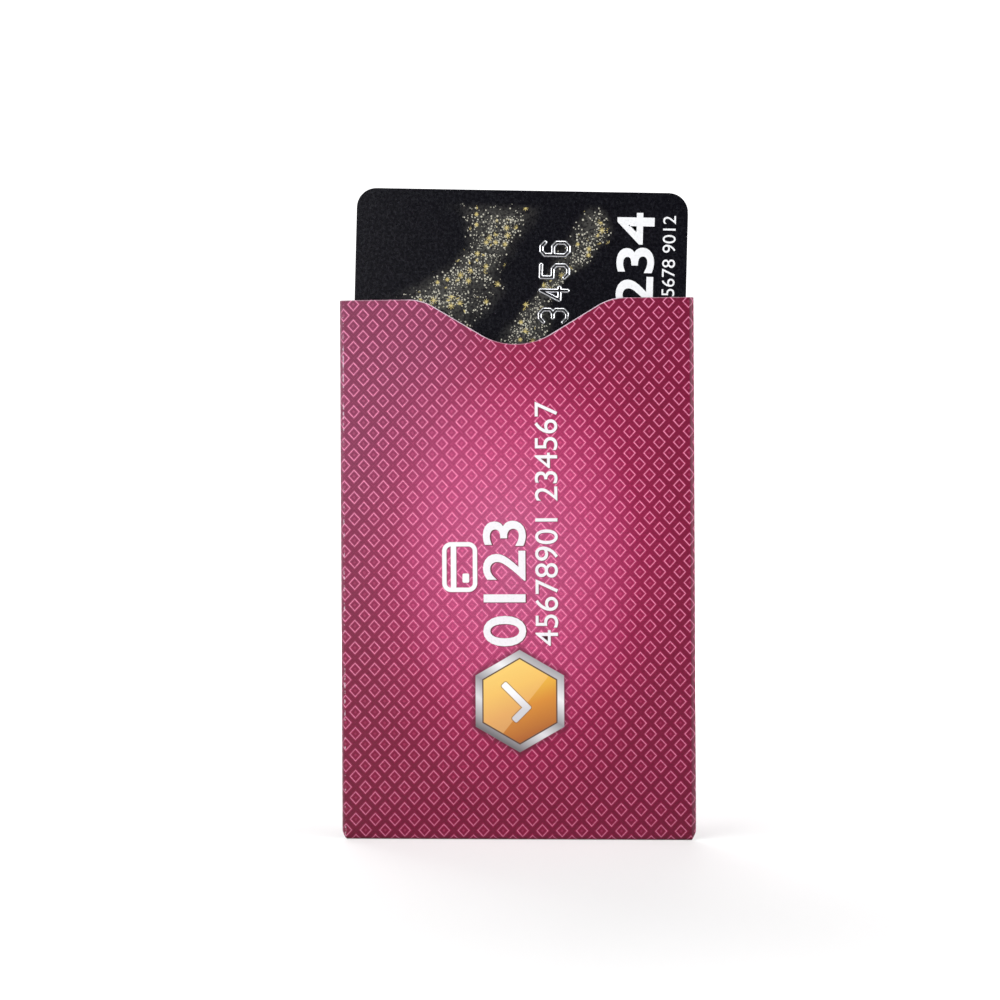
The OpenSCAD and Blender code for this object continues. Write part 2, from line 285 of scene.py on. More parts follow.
def round_box(across: Wire, up: Wire, middle: tuple[float, float], size: tuple[float, float], corner: float) -> Wire:
    """Distance outside a box with round corners, less its corner radius.

    Args:
        across: First place.
        up: Second place.
        middle: The box's middle.
        size: The box's two sizes.
        corner: Its corner radius.

    Returns:
        A distance that is below zero inside the box.
    """
    beside = (abs(across - middle[0]) - (size[0] / 2 - corner)).larger(0.0)
    above = (abs(up - middle[1]) - (size[1] / 2 - corner)).larger(0.0)
    return (beside * beside + above * above).root() - corner


def inside(distance: Wire, soft: float = 0.05) -> Wire:
    """Mask of 1 where a distance is below zero."""
    return distance.rise(soft, -soft)


# The card's own frame


@dataclass(frozen=True)
class CardFrame:
    """Where the card rests: turned about Y by its lean, then moved to its middle."""

    card_w: float = 53.98
    card_l: float = 85.6
    card_t: float = 0.76
    card_r: float = 3.18
    lean_share: float = 0.8
    side_play: float = 1.6
    touch_play: float = 0.28
    card_out: float = 17.6
    sleeve_h: float = 87.97

    @property
    def lean(self) -> float:
        """The card's lean to the right, in radians."""
        return math.asin(self.lean_share * 2 * self.side_play / self.card_l)

    @property
    def middle(self) -> Vector:
        """The middle of the card."""
        half_span = (
            (self.card_w / 2 - self.card_r) * math.cos(self.lean)
            + (self.card_l / 2 - self.card_r) * math.sin(self.lean)
            + self.card_r
        )
        x = half_span + self.touch_play - self.card_w / 2 - self.side_play
        return Vector((x, 0.0, self.sleeve_h + self.card_out - self.card_l / 2 * math.cos(self.lean)))

    @property
    def matrix(self) -> Matrix:
        """Turns a place in the card's frame, in metres, into a place in the parts' frame."""
        return Matrix.Translation(self.middle * MM) @ Matrix.Rotation(self.lean, 4, "Y")

    def local(self, bench: Bench) -> Wire:
        """Place on the card in its own frame, in millimetres."""
        middle = tuple(self.middle * MM)
        settings = {"rotation_type": "Y_AXIS"}
        turned = bench.add(
            "ShaderNodeVectorRotate", settings, {"Vector": bench.place(), "Center": middle, "Angle": -self.lean}
        )
        moved = bench.add("ShaderNodeVectorMath", {"operation": "SUBTRACT"}, {0: turned, 1: middle})
        return bench.stretch(moved, (1 / MM, 1 / MM, 1 / MM))


# Finishes of the sleeve


@dataclass(frozen=True)
class PrintedPaper:
    """Glossy printed paper: a lattice of outlined diamonds over a glow, with a white mark and a badge."""

    name: str = "printed_paper"
    pitch_across: float = 3.21
    pitch_up: float = 3.5
    phase_rising: float = 0.338
    phase_falling: float = 0.205
    diamond: float = 0.281
    panel_pitch: float = 58.6
    glow_middle: float = 46.0
    glow_half: tuple[float, float] = (31.0, 47.0)
    # Stops run from the magenta middle to the crimson corners; the darkening towards the corners is partly painted
    # shade.
    glow: tuple[tuple[float, Colour], ...] = (
        (0.0, (0.540, 0.104, 0.241)),
        (0.12, (0.540, 0.086, 0.218)),
        (0.27, (0.525, 0.057, 0.176)),
        (0.38, (0.436, 0.032, 0.124)),
        (0.47, (0.322, 0.0125, 0.071)),
        (0.62, (0.240, 0.0080, 0.048)),
        (0.80, (0.222, 0.0072, 0.045)),
        (1.0, (0.165, 0.0060, 0.030)),
    )
    sheen: Colour = (0.68, 0.32, 0.66)
    outline: Colour = (0.95, 0.32, 0.53)
    band: Colour = (0.050, 0.006, 0.016)
    deep: Colour = (0.080, 0.001, 0.014)
    # Painted shade in the side folds' creases.
    fold_shade_colour: Colour = (0.11, 0.04, 0.06)
    ink: Colour = (0.88, 0.88, 0.89)
    # Paper core at the cut edges, also used for the partly painted highlight along the folds.
    core_and_highlight: Colour = (0.76, 0.64, 0.73)

    def _lattice(self, across: Wire, up: Wire) -> tuple[Wire, Wire, Wire, Wire]:
        """Masks of the lattice.

        Args:
            across: Place across the sheet.
            up: Place up the sheet.

        Returns:
            The outlines, with fainter falling sides, the dark lines round them, the bands between the diamonds and
            the dots at their middles.
        """
        x = across / self.pitch_across
        z = up / self.pitch_up
        rising = (x + z + self.phase_rising).to_nearest(1.0)
        falling = (x - z + self.phase_falling).to_nearest(1.0)
        reach = rising.larger(falling)
        outline = abs(reach - self.diamond).rise(0.050, 0.011) * ((rising - falling).rise(-0.02, 0.02) * 0.12 + 0.88)
        shade = abs(reach - 0.43).rise(0.080, 0.020).larger(abs(reach - 0.14).rise(0.050, 0.010))
        return outline, shade, reach.rise(0.40, 0.44), reach.rise(0.12, 0.0)

    @staticmethod
    def _creases(across: Wire) -> tuple[Wire, Wire]:
        """Masks of the painted shade in each side fold's crease, and of the worn lines along each side fold, which are
        partly painted highlight standing in for the folds' sheen.
        """
        fold_shade_mask = abs(across - 28.45).smaller(abs(across + 28.72)).rise(0.35, 0.2)
        fold_wear_and_highlight = abs(abs(across) - 29.4).rise(0.55, 0.1) * 0.75
        return fold_shade_mask, fold_wear_and_highlight.larger(abs(across + 28.27).rise(0.16, 0.05) * 0.8)

    def _spread(self, across: Wire, up: Wire) -> Wire:
        """Distance from the middle of the panel's glow, 0 there and about 1 in the corners."""
        beside = across.to_nearest(self.panel_pitch) / self.glow_half[0]
        above = (up - self.glow_middle) / self.glow_half[1]
        return (beside * beside + above * above).root() / 1.4

    def _glow(self, bench: Bench, spread: Wire, across: Wire, up: Wire) -> Wire:
        """Crimson print that brightens to magenta in the middle of each panel and darkens towards the corners, partly
        as painted shade, with a painted sheen at the front's upper left.
        """
        # Painted sheen: a whitish magenta laid over the print at the front's upper left, fading out round the left
        # fold.
        painted_sheen_mask = across.rise(2.0, -16.0) * across.rise(-42.0, -30.0) * up.rise(8.0, 76.0)
        return bench.mix(bench.ramp(spread, self.glow), self.sheen, painted_sheen_mask * 0.105)

    def _marks(self, across: Wire, up: Wire) -> Wire:
        """Mask of the small white card beside the numerals: its outline, its stripe and its chip."""
        outline = abs(round_box(across, up, (-9.3, 44.4), (5.0, 7.4), 1.1)) - 0.36
        stripe = round_box(across, up, (-10.3, 44.4), (0.9, 7.0), 0.1)
        chip = round_box(across, up, (-8.3, 42.6), (1.1, 1.5), 0.25)
        return inside(outline.smaller(stripe).smaller(chip))

    def _badge(self, bench: Bench, under: Wire, across: Wire, up: Wire) -> Wire:
        """Six-sided badge with a silver rim, an amber field and a plain tick.

        Args:
            bench: Where the nodes are made.
            under: The colour that the badge lies on.
            across: Place across the sheet.
            up: Place up the sheet.

        Returns:
            The colour with the badge on it.
        """
        x = across - 0.4
        z = up - 22.6
        flat = abs(x).larger(abs(x) * 0.5 + abs(z) * 0.866)
        shadow = bench.mix(under, (0.06, 0.01, 0.02), inside(flat - 7.75, 0.5) * 0.55)
        tilt = (x * 0.5 + z * 0.866) / 7.0
        silver = bench.ramp(
            tilt * 0.5 + 0.5,
            ((0.0, (0.16, 0.15, 0.16)), (0.3, (0.72, 0.71, 0.73)), (0.5, (0.30, 0.29, 0.31)), (0.75, (0.85, 0.84, 0.85)), (1.0, (0.38, 0.37, 0.39))),
        )
        amber = bench.ramp(
            (x * -0.35 + z * 0.9) / 12.0 + 0.5,
            ((0.0, (0.40, 0.12, 0.03)), (0.4, (0.66, 0.26, 0.04)), (0.7, (0.84, 0.48, 0.06)), (1.0, (0.88, 0.60, 0.10))),
        )
        amber = bench.mix(amber, (0.92, 0.62, 0.28), (z * 0.8 - x + 1.5).rise(0.0, 0.12) * 0.35)
        rim = bench.mix(shadow, silver, inside(flat - 7.2))
        groove = bench.mix(rim, (0.10, 0.05, 0.03), inside(abs(flat - 6.0) - 0.12))
        field_colour = bench.mix(groove, amber, inside(flat - 5.9))
        # The tick is read with the sleeve turned on its side, as the bars are
        along = z
        height = -x
        short = round_box(along * 0.707 + height * 0.707, height * 0.707 - along * 0.707, (-1.55, 1.15), (1.1, 3.6), 0.3)
        long = round_box(along * 0.707 + height * 0.707, height * 0.707 - along * 0.707, (0.9, -0.1), (6.0, 1.1), 0.3)
        tick = short.smaller(long)
        edged = bench.mix(field_colour, (0.20, 0.08, 0.02), inside(tick - 0.12) * 0.8)
        return bench.mix(edged, bench.mix((0.62, 0.61, 0.64), (0.93, 0.92, 0.94), (z * 0.25 + 0.5).rise(0.0, 1.0)), inside(tick))

    def make(self) -> bpy.types.Material:
        """Builds the material on the sheet's flat places, so that the print runs on over the folds."""
        bench = Bench(self.name)
        flat = bench.add("ShaderNodeAttribute", {"attribute_name": "flat"}, {}, "Vector")
        across, up, edge = bench.parts(flat)
        outline, shade, band, dot = self._lattice(across, up)
        grain = bench.noise(flat, 1.3, 3.0, 1.0)
        speckle = bench.noise(flat, 2.9, 1.0, 1.0)
        blotch = bench.noise(flat, 0.06, 2.0, 1.0)
        spread = self._spread(across, up)
        colour = self._glow(bench, spread, across, up)
        colour = bench.mix(colour, (0.80, 0.16, 0.34), dot * 0.13)
        # Painted shade: towards the bottom the bands darken and the outlines dim, and towards the corners the dark
        # lines round the outlines deepen.
        colour = bench.mix(colour, self.band, band * (up.rise(65.0, -5.0) * 0.22 + 0.05))
        colour = bench.mix(colour, self.deep, shade * (speckle * 0.35 + spread * 0.30))
        colour = bench.mix(colour, self.outline, outline * (grain * 0.5 + 0.5) * (up.rise(-10.0, 60.0) * 0.40 + 0.58))
        colour = bench.mix(colour, speckle * 0.9 + 0.55, 1.0, "MULTIPLY")
        marks = self._marks(across, up)
        colour = bench.mix(colour, (0.10, 0.01, 0.03), self._marks(across - 0.16, up + 0.12) * 0.6)
        colour = bench.mix(colour, self.ink, marks)
        colour = self._badge(bench, colour, across, up)
        fold_shade_mask, fold_wear_and_highlight = self._creases(across)
        # Painted shade: the side folds' creases darken.
        colour = bench.mix(colour, self.fold_shade_colour, fold_shade_mask * 0.45)
        # The fold lines break into worn specks; they are partly painted highlight.
        fold_wear_and_highlight = fold_wear_and_highlight * (grain + blotch * 0.6).rise(0.76, 0.96)
        flank = abs(abs(across) - 11.0).rise(8.0, 5.0)
        cut = (edge - grain * 0.20).rise(0.06, 0.0) * (flank * 0.7 + 0.3)
        # Wear mask: the fold lines, partly painted highlight, and the paper core along the cut edges, stronger near the
        # notch's flanks.
        worn = fold_wear_and_highlight.larger(cut)
        colour = bench.mix(colour, self.core_and_highlight, worn * 0.8)
        rough = blotch * 0.10 + 0.33 + worn * 0.25
        height = grain * 0.6 + blotch * 3.0
        return bench.finish(
            Base_Color=colour, Roughness=rough, Normal=bench.bump(height, 0.01), Specular_IOR_Level=0.20
        )


@dataclass(frozen=True)
class PaperCore:
    """Bare paper at a cut edge."""

    name: str = "paper_core"
    colour: Colour = (0.78, 0.73, 0.74)

    def make(self) -> bpy.types.Material:
        """Builds the material, with fibres."""
        bench = Bench(self.name)
        fibre = bench.noise(bench.place(), 9.0, 4.0)
        shade = bench.mix(self.colour, (0.55, 0.42, 0.46), fibre * 0.5)
        return bench.finish(Base_Color=shade, Roughness=0.85, Normal=bench.bump(fibre, 0.03))


@dataclass(frozen=True)
class FoilLining:
    """Thin aluminium lining with soft wrinkles."""

    name: str = "foil_lining"
    colour: Colour = (0.74, 0.75, 0.77)

    def make(self) -> bpy.types.Material:
        """Builds the material."""
        bench = Bench(self.name)
        place = bench.place()
        wrinkle = bench.noise(place, 0.35, 4.0)
        rolled = bench.noise(bench.stretch(place, (9.0, 1.0, 0.25)), 1.2, 2.0)
        tone = bench.mix(self.colour, (0.60, 0.61, 0.64), rolled * 0.5)
        height = wrinkle + rolled * 0.06
        rough = rolled * 0.18 + 0.24
        return bench.finish(Base_Color=tone, Metallic=1.0, Roughness=rough, Normal=bench.bump(height, 0.12))


@dataclass(frozen=True)
class DriedGlue:
    """Thin line of dried white glue."""

    name: str = "dried_glue"

    def make(self) -> bpy.types.Material:
        """Builds the material."""
        bench = Bench(self.name)
        ripple = bench.noise(bench.place(), 0.9, 3.0)
        tone = bench.mix((0.78, 0.74, 0.60), (0.62, 0.55, 0.38), ripple)
        return bench.finish(Base_Color=tone, Roughness=ripple * 0.2 + 0.3, Normal=bench.bump(ripple, 0.03))


# Finishes of the card


@dataclass(frozen=True)
class CardFront:
    """Glossy black card with ribbons of foil stardust."""

    card: CardFrame
    name: str = "card_front"
    black: Colour = (0.0025, 0.0024, 0.0045)
    veil: Colour = (0.060, 0.058, 0.052)
    silver: Colour = (0.62, 0.60, 0.50)
    gold: Colour = (0.66, 0.54, 0.20)

    def _figure(self, bench: Bench, place: Wire) -> tuple[Wire, Wire, Wire]:
        """Stardust of foil in patches along two winding ribbons: small dots, and fewer gold stars.

        Args:
            bench: Where the nodes are made.
            place: Place in the card's frame.

        Returns:
            How thick the dust lies, and the masks of its dots and its stars.
        """
        x, _, z = bench.parts(place)
        drift = bench.noise(bench.stretch(place, (1.0, 0.0, 1.0)), 0.16, 3.0, 1.0) - 0.5
        broad = abs(x + 9.0 - (z * 0.19 + 0.9).math("SINE") * 5.0) / ((z * 0.33).math("SINE") * 2.2 + 6.6)
        narrow = abs(x - 6.5 - (z * 0.14 + 2.2).math("SINE") * 5.5) / ((z * 0.41).math("SINE") * 1.3 + 3.0)
        flat = bench.stretch(place, (1.0, 0.0, 1.0))
        dust = (broad.smaller(narrow) + drift * 1.3).rise(1.1, 0.25) * abs(z).rise(41.0, 38.5)
        thick = dust * (bench.noise(flat, 0.42, 2.0, 1.0).rise(0.38, 0.60) * 0.8 + 0.2)
        dots = self._cells(bench, flat, 2.3, 1.0)
        stars = self._cells(bench, flat, 0.66, 0.75)
        dot = (dots[2] - dots[3] * 0.11 - 0.03).rise(0.05, 0.0) * (thick - dots[4]).rise(0.0, 0.06)
        arm = stars[0].smaller(stars[1]).smaller((stars[0] - stars[1]).math("ABSOLUTE") * 0.75)
        reach = stars[3] * 0.40 + 0.28
        star = (arm + stars[2] * 0.05).rise(0.078, 0.042) * (stars[2] - reach).rise(0.03, -0.03)
        return dust, dot, star * (thick - stars[4] * 1.4).rise(0.0, 0.06)

    @staticmethod
    def _cells(bench: Bench, flat: Wire, per_mm: float, scatter: float) -> tuple[Wire, Wire, Wire, Wire, Wire]:
        """Scattered points of the figure.

        Args:
            bench: Where the nodes are made.
            flat: Place on the card's face.
            per_mm: How many points lie along a millimetre.
            scatter: How far the points leave an even grid, from 0 to 1.

        Returns:
            The distances to the nearest point across, along and in all, and two numbers drawn for it.
        """
        values = {"Vector": flat, "Scale": per_mm, "Randomness": scatter}
        point = bench.add("ShaderNodeTexVoronoi", {"feature": "F1"}, values, "Position")
        drawn = Wire(bench, point.socket.node.outputs["Color"])
        away = bench.add("ShaderNodeVectorMath", {"operation": "SUBTRACT"}, {0: flat, 1: point})
        x, _, z = bench.parts(away)
        first, second, _ = bench.parts(drawn)
        return abs(x), abs(z), (x * x + z * z).root(), first, second

    def make(self) -> bpy.types.Material:
        """Builds the material."""
        bench = Bench(self.name)
        place = self.card.local(bench)
        _, y, _ = bench.parts(place)
        face = y.rise(-self.card.card_t / 2 + 0.03, -self.card.card_t / 2 + 0.01)
        dust, dot, star = self._figure(bench, place)
        grain = bench.noise(place, 2.2, 4.0, 1.0)
        colour = bench.mix(self.black, (0.010, 0.010, 0.014), grain.rise(0.4, 0.75))
        colour = bench.mix(colour, self.veil, dust * face * grain.rise(0.3, 0.6) * 0.8)
        colour = bench.mix(colour, self.silver, dot * face * (grain * 0.6 + 0.5))
        colour = bench.mix(colour, self.gold, star * face * 0.85)
        rough = grain * 0.10 + 0.13 + dust * 0.10
        return bench.finish(
            Base_Color=colour, Roughness=rough, Normal=bench.bump(grain, 0.004), Specular_IOR_Level=0.24
        )


@dataclass(frozen=True)
class CardBack:
    """Satin black back of the card."""

    card: CardFrame
    name: str = "card_back"

    def make(self) -> bpy.types.Material:
        """Builds the material, with fine scuffs along the card."""
        bench = Bench(self.name)
        place = self.card.local(bench)
        scuff = bench.noise(bench.stretch(place, (6.0, 1.0, 0.5)), 0.6, 4.0, 1.0)
        tone = bench.mix((0.009, 0.009, 0.012), (0.05, 0.05, 0.055), scuff.rise(0.55, 0.85) * 0.5)
        return bench.finish(
            Base_Color=tone, Roughness=scuff * 0.15 + 0.25, Normal=bench.bump(scuff, 0.008), Specular_IOR_Level=0.28
        )


@dataclass(frozen=True)
class NumeralGlintSilver:
    """Black plastic raised into numerals with black tops and silver on their shoulders, a painted highlight that stands
    in for the glints of light there.
    """

    card: CardFrame
    emboss_h: float = 0.45
    name: str = "number_tips"

    def make(self) -> bpy.types.Material:
        """Builds the material by the height over the card's face."""
        bench = Bench(self.name)
        place = self.card.local(bench)
        _, y, _ = bench.parts(place)
        height = (-(y + self.card.card_t / 2)) / self.emboss_h
        breakup_noise = bench.noise(place, 1.6, 4.0, 1.0)
        # Painted highlight: silver on the shoulders in place of glints, broken up by noise and kept off the tops.
        silver = height.rise(0.22, 0.42) * (height + breakup_noise * 0.08).rise(1.01, 0.93) * breakup_noise.rise(0.30, 0.42)
        tone = bench.mix((0.006, 0.006, 0.009), (0.62, 0.63, 0.66), silver)
        return bench.finish(Base_Color=tone, Metallic=silver, Roughness=breakup_noise * 0.10 + 0.12)


@dataclass(frozen=True)
class PlainFinish:
    """A finish of one colour with grain, wear and a little relief."""

    name: str
    colour: Colour
    worn: Colour
    roughness: float = 0.4
    metallic: float = 0.0
    grain_per_mm: float = 2.0
    relief_mm: float = 0.01
    grain_stretch: tuple[float, float, float] = (1.0, 1.0, 1.0)

    def make(self) -> bpy.types.Material:
        """Builds the material."""
        bench = Bench(self.name)
        place = bench.stretch(bench.place(), self.grain_stretch)
        grain = bench.noise(place, self.grain_per_mm, 4.0)
        tone = bench.mix(self.colour, self.worn, grain.rise(0.45, 0.8))
        rough = grain * 0.16 + (self.roughness - 0.08)
        normal = bench.bump(grain, self.relief_mm)
        return bench.finish(
            Base_Color=tone, Metallic=self.metallic, Roughness=rough, Normal=normal, Specular_IOR_Level=0.35
        )


@dataclass(frozen=True)
class SignaturePaper:
    """Off-white signature panel with fine crossing lines."""

    card: CardFrame
    name: str = "signature_paper"

    def make(self) -> bpy.types.Material:
        """Builds the material."""
        bench = Bench(self.name)
        place = self.card.local(bench)
        x, _, z = bench.parts(place)
        wave = (x * 1.1).math("SINE") * 0.5
        one = (z + wave).to_nearest(1.1).rise(0.09, 0.03)
        two = (z * 0.5 + x - wave).to_nearest(1.1).rise(0.09, 0.03)
        fibre = bench.noise(place, 4.0, 3.0, 1.0)
        tone = bench.mix((0.80, 0.79, 0.74), (0.66, 0.64, 0.58), fibre)
        tone = bench.mix(tone, (0.38, 0.46, 0.58), one.larger(two) * 0.6)
        return bench.finish(Base_Color=tone, Roughness=0.7, Normal=bench.bump(fibre, 0.02))


@dataclass(frozen=True)
class PrintInk:
    """Film of printing ink with a fine grain and pinholes."""

    name: str
    colour: Colour
    roughness: float = 0.4

    def make(self) -> bpy.types.Material:
        """Builds the material."""
        bench = Bench(self.name)
        grain = bench.noise(bench.place(), 3.0, 3.0)
        shade = tuple(part * 0.82 for part in self.colour)
        tone = bench.mix(self.colour, shade, grain.rise(0.5, 0.85))
        return bench.finish(Base_Color=tone, Roughness=grain * 0.2 + self.roughness, Normal=bench.bump(grain, 0.004))


# Meshes


@dataclass(frozen=True)
class Numerals:
    """A printed line of plain numerals, read from the bottom of the sleeve to its top."""

    text: str
    left: float
    low: float
    height: float
    length: float
    weight: float = 0.0
    depth: float = 0.01

    def flat_mesh(self) -> bpy.types.Mesh:
        """Thin solid numerals, in millimetres: X across the face, Y out of it towards the viewer, Z up it."""
        curve = bpy.data.curves.new("numerals", "FONT")
        curve.body = self.text
        curve.offset = self.weight
        curve.extrude = 0.5
        curve.resolution_u = 5
        carrier = bpy.data.objects.new("numerals", curve)
        mesh = bpy.data.meshes.new_from_object(carrier)
        bpy.data.objects.remove(carrier)
        points = np.empty(3 * len(mesh.vertices), np.float32)
        mesh.vertices.foreach_get("co", points)
        along, tall, out = points.reshape(-1, 3).T
        z = self.low + (along - along.min()) / np.ptp(along) * self.length
        x = self.left + (1 - (tall - tall.min()) / np.ptp(tall)) * self.height
        y = -np.where(out > 0, self.depth, -0.01)
        mesh.vertices.foreach_set("co", np.stack([x, y, z], -1).reshape(-1))
        mesh.update()
        return mesh

    def build(self, name: str, body: "Body", slot: str, ink: bpy.types.Material) -> tuple[bpy.types.Object, np.ndarray]:
        """Makes the piece, still flat.

        Args:
            name: Its name.
            body: The body that it rides on.
            slot: Not used.
            ink: Its material.

        Returns:
            The piece and its flat points.
        """
        mesh = self.flat_mesh()
        mesh.materials.clear()
        piece = add_object(name, mesh, [ink])
        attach(piece, body.value)
        points = np.empty(3 * len(mesh.vertices), np.float32)
        mesh.vertices.foreach_get("co", points)
        LOG.info("printed %s: %d faces", name, len(mesh.polygons))
        return piece, points.reshape(-1, 3)


def move_points(piece: bpy.types.Object, points: np.ndarray) -> None:
    """Gives a piece's mesh new points, in millimetres."""
    piece.data.vertices.foreach_set("co", (points * MM).astype(np.float32).reshape(-1))
    piece.data.update()


def add_object(name: str, mesh: bpy.types.Mesh, materials: Sequence[bpy.types.Material]) -> bpy.types.Object:
    """Puts a mesh in the scene with smooth faces and its materials."""
    for material in materials:
        mesh.materials.append(material)
    mesh.shade_smooth()
    mesh.set_sharp_from_angle(angle=math.radians(40))
    piece = bpy.data.objects.new(name, mesh)
    bpy.context.scene.collection.objects.link(piece)
    return piece


def sheet_mesh(name: str, outer: np.ndarray, inner: np.ndarray, flat: np.ndarray) -> bpy.types.Mesh:
    """Closed mesh of a sheet from two grids of points.

    Args:
        name: The mesh's name.
        outer: Points of the outer face, columns by rows by 3, in millimetres.
        inner: Points of the inner face in the same order.
        flat: Places on the flat sheet and distance from its cut edge, for each point.

    Returns:
        The mesh, whose faces hold Side's slots.
    """
    columns, rows = outer.shape[:2]
    index = np.arange(columns * rows).reshape(columns, rows)
    under = index + columns * rows
    quads = np.stack([index[:-1, :-1], index[1:, :-1], index[1:, 1:], index[:-1, 1:]], -1).reshape(-1, 4)
    back = quads[:, ::-1] + columns * rows
    ring = np.concatenate([index[:, 0], index[-1, 1:], index[-2::-1, -1], index[0, -2:0:-1]])
    ring_under = ring + columns * rows
    walls = np.stack([ring, ring_under, np.roll(ring_under, -1), np.roll(ring, -1)], -1)
    points = np.concatenate([outer.reshape(-1, 3), inner.reshape(-1, 3)]) * MM
    faces = np.concatenate([quads, back, walls])
    mesh = bpy.data.meshes.new(name)
    mesh.from_pydata(points.tolist(), [], faces.tolist())
    slots = np.repeat([Side.FACE.value, Side.LINING.value, Side.CUT.value], [len(quads), len(back), len(walls)])
    mesh.polygons.foreach_set("material_index", slots.astype(np.int32))
    attribute = mesh.attributes.new("flat", "FLOAT_VECTOR", "POINT")
    attribute.data.foreach_set("vector", np.concatenate([flat, flat]).astype(np.float32).reshape(-1))
    mesh.update()
    return mesh


def spaced(low: float, high: float, step: float) -> np.ndarray:
    """Even places from low to high, about a step apart."""
    return np.linspace(low, high, max(2, round(abs(high - low) / step) + 1))


@dataclass(frozen=True)
class Sheet:
    """One layer of the folded sheet, between two depths under its printed face."""

    outer: float
    inner: float
    suffix: str
    slot: str


# The sleeve


